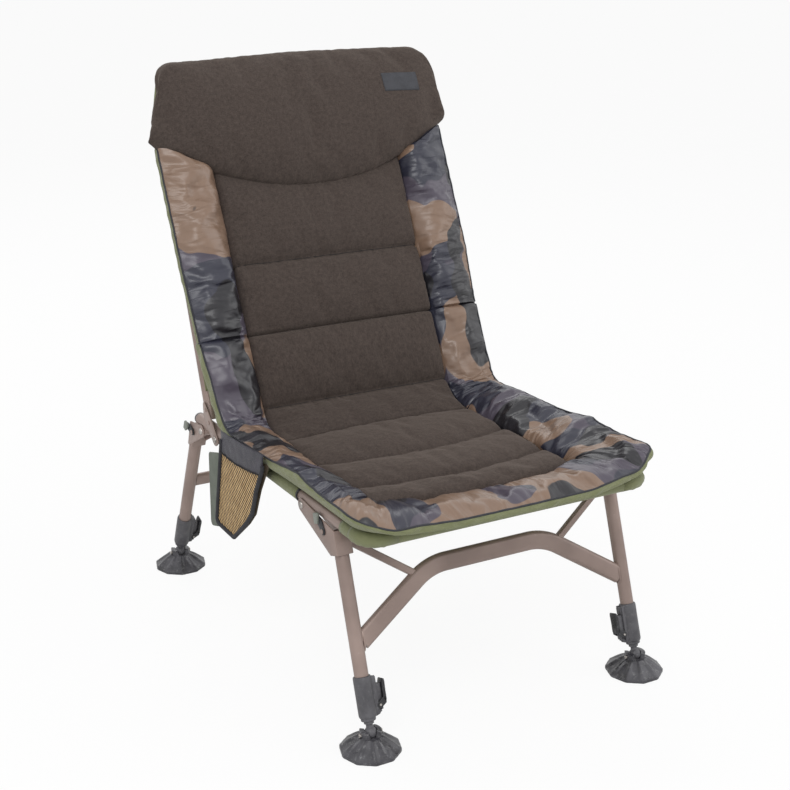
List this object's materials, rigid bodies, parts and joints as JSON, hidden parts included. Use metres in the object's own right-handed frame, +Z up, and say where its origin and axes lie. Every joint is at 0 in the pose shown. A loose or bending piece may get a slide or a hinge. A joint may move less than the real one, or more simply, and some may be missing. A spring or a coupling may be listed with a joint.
{
  "type": "folding fishing chair",
  "caption": "Low folding angler's chair: padded mattress with headrest on a tubular frame, adjustable legs with round mud feet and a net side pocket.",
  "frame": {"origin": "on the ground, midway between the four feet", "axes": "+Z up, +Y to the rear, -Y to the front where the sitter faces, +X to the sitter's left"},
  "size_m": [0.595, 0.8406, 0.9535],
  "materials": {
    "frame": "satin taupe powder coat",
    "bolt": "dull plated steel",
    "plastic": "moulded dark grey",
    "foot": "moulded dark grey, ribbed",
    "lining": "olive coated cloth",
    "camouflage": null,
    "fleece": "dark brown fleece",
    "pocket_cloth": "grey-green cloth",
    "pocket_net": "tan mesh with a dark binding"
  },
  "bodies": {
    "seat_frame": {"seat_rail_left": "frame", "seat_rail_right": "frame", "rail_end_cap_left": "plastic", "rail_end_cap_right": "plastic", "seat_front_rail": "frame", "seat_rear_rail": "frame", "seat_sling": "lining", "seat_pad_centre": "fleece", "seat_border_left": "camouflage", "seat_border_right": "camouflage", "seat_border_front": "camouflage", "pad_fold_section": "fleece", "front_pivot_bolt_left": "bolt", "front_pivot_bolt_right": "bolt", "rear_pivot_bolt_left": "bolt", "rear_pivot_bolt_right": "bolt", "back_pivot_bolt_left": "bolt", "back_pivot_bolt_right": "bolt", "pocket_back": "pocket_cloth", "pocket_net": "pocket_net"},
    "back_frame": {"back_tube_left": "frame", "back_tube_right": "frame", "back_top_bar": "frame", "back_hinge_strap_left": "frame", "back_hinge_strap_right": "frame", "back_sling": "lining", "back_pad_centre": "fleece", "back_border_left": "camouflage", "back_border_right": "camouflage", "headrest_pad": "fleece"},
    "front_legs": {"front_leg_tube_left": "frame", "front_leg_tube_right": "frame", "front_bracket_left": "frame", "front_bracket_right": "frame", "front_arch": "frame", "front_collar_left": "plastic", "front_collar_right": "plastic"},
    "rear_legs": {"rear_leg_tube_left": "frame", "rear_leg_tube_right": "frame", "rear_bracket_left": "frame", "rear_bracket_right": "frame", "rear_crossbar": "frame", "rear_collar_left": "plastic", "rear_collar_right": "plastic"},
    "front_inner_leg_left": {"front_inner_leg_left": "frame"},
    "front_foot_left": {"front_foot_left": "foot"},
    "front_cam_lever_left": {"front_cam_lever_left": "plastic"},
    "front_latch_left": {"front_latch_left": "plastic"},
    "front_inner_leg_right": {"front_inner_leg_right": "frame"},
    "front_foot_right": {"front_foot_right": "foot"},
    "front_cam_lever_right": {"front_cam_lever_right": "plastic"},
    "front_latch_right": {"front_latch_right": "plastic"},
    "rear_inner_leg_left": {"rear_inner_leg_left": "frame"},
    "rear_foot_left": {"rear_foot_left": "foot"},
    "rear_cam_lever_left": {"rear_cam_lever_left": "plastic"},
    "rear_latch_left": {"rear_latch_left": "plastic"},
    "rear_inner_leg_right": {"rear_inner_leg_right": "frame"},
    "rear_foot_right": {"rear_foot_right": "foot"},
    "rear_cam_lever_right": {"rear_cam_lever_right": "plastic"},
    "rear_latch_right": {"rear_latch_right": "plastic"}
  },
  "joints": [
    {"name": "back_fold", "type": "hinge", "parent": "seat_frame", "child": "back_frame", "pos_m": [0, 0.152, 0.329], "axis": [1, 0, 0], "range_deg": [0, 77], "deforming": ["pad_fold_section"]},
    {"name": "front_leg_fold", "type": "hinge", "parent": "seat_frame", "child": "front_legs", "pos_m": [0, -0.18, 0.33], "axis": [1, 0, 0], "range_deg": [0, 105]},
    {"name": "rear_leg_fold", "type": "hinge", "parent": "seat_frame", "child": "rear_legs", "pos_m": [0, 0.214, 0.325], "axis": [1, 0, 0], "range_deg": [-100, 0]},
    {"name": "front_leg_slide_left", "type": "slide", "parent": "front_legs", "child": "front_inner_leg_left", "axis": [0, 0.3279, 0.9447], "range_m": [-0.09, 0]},
    {"name": "front_foot_tilt_left", "type": "hinge", "parent": "front_inner_leg_left", "child": "front_foot_left", "pos_m": [-0.25, -0.375, 0.03], "axis": [1, 0, 0], "range_deg": [-15, 15]},
    {"name": "front_lever_swing_left", "type": "hinge", "parent": "front_legs", "child": "front_cam_lever_left", "pos_m": [-0.23, -0.36254, 0.0659], "axis": [0, 0.9447, -0.3279], "range_deg": [0, 80]},
    {"name": "front_latch_swing_left", "type": "hinge", "parent": "front_legs", "child": "front_latch_left", "pos_m": [-0.2692, -0.256, 0.315], "axis": [1, 0, 0], "range_deg": [0, 20], "stiffness_Nm_per_rad": 0.5, "springref_deg": -20.05},
    {"name": "front_leg_slide_right", "type": "slide", "parent": "front_legs", "child": "front_inner_leg_right", "axis": [0, 0.3279, 0.9447], "range_m": [-0.09, 0]},
    {"name": "front_foot_tilt_right", "type": "hinge", "parent": "front_inner_leg_right", "child": "front_foot_right", "pos_m": [0.25, -0.375, 0.03], "axis": [1, 0, 0], "range_deg": [-15, 15]},
    {"name": "front_lever_swing_right", "type": "hinge", "parent": "front_legs", "child": "front_cam_lever_right", "pos_m": [0.23, -0.36254, 0.0659], "axis": [0, -0.9447, 0.3279], "range_deg": [0, 80]},
    {"name": "front_latch_swing_right", "type": "hinge", "parent": "front_legs", "child": "front_latch_right", "pos_m": [0.2692, -0.256, 0.315], "axis": [1, 0, 0], "range_deg": [0, 20], "stiffness_Nm_per_rad": 0.5, "springref_deg": -20.05},
    {"name": "rear_leg_slide_left", "type": "slide", "parent": "rear_legs", "child": "rear_inner_leg_left", "axis": [0, 0.368, -0.9298], "range_m": [0, 0.09]},
    {"name": "rear_foot_tilt_left", "type": "hinge", "parent": "rear_inner_leg_left", "child": "rear_foot_left", "pos_m": [-0.25, 0.375, 0.03], "axis": [1, 0, 0], "range_deg": [-15, 15]},
    {"name": "rear_lever_swing_left", "type": "hinge", "parent": "rear_legs", "child": "rear_cam_lever_left", "pos_m": [-0.23, 0.36101, 0.06533], "axis": [0, 0.9298, 0.368], "range_deg": [0, 80]},
    {"name": "rear_latch_swing_left", "type": "hinge", "parent": "rear_legs", "child": "rear_latch_left", "pos_m": [-0.2692, 0.249, 0.313], "axis": [1, 0, 0], "range_deg": [0, 20], "stiffness_Nm_per_rad": 0.5, "springref_deg": -20.05},
    {"name": "rear_leg_slide_right", "type": "slide", "parent": "rear_legs", "child": "rear_inner_leg_right", "axis": [0, 0.368, -0.9298], "range_m": [0, 0.09]},
    {"name": "rear_foot_tilt_right", "type": "hinge", "parent": "rear_inner_leg_right", "child": "rear_foot_right", "pos_m": [0.25, 0.375, 0.03], "axis": [1, 0, 0], "range_deg": [-15, 15]},
    {"name": "rear_lever_swing_right", "type": "hinge", "parent": "rear_legs", "child": "rear_cam_lever_right", "pos_m": [0.23, 0.36101, 0.06533], "axis": [0, -0.9298, -0.368], "range_deg": [0, 80]},
    {"name": "rear_latch_swing_right", "type": "hinge", "parent": "rear_legs", "child": "rear_latch_right", "pos_m": [0.2692, 0.249, 0.313], "axis": [1, 0, 0], "range_deg": [0, 20], "stiffness_Nm_per_rad": 0.5, "springref_deg": -20.05}
  ]
}
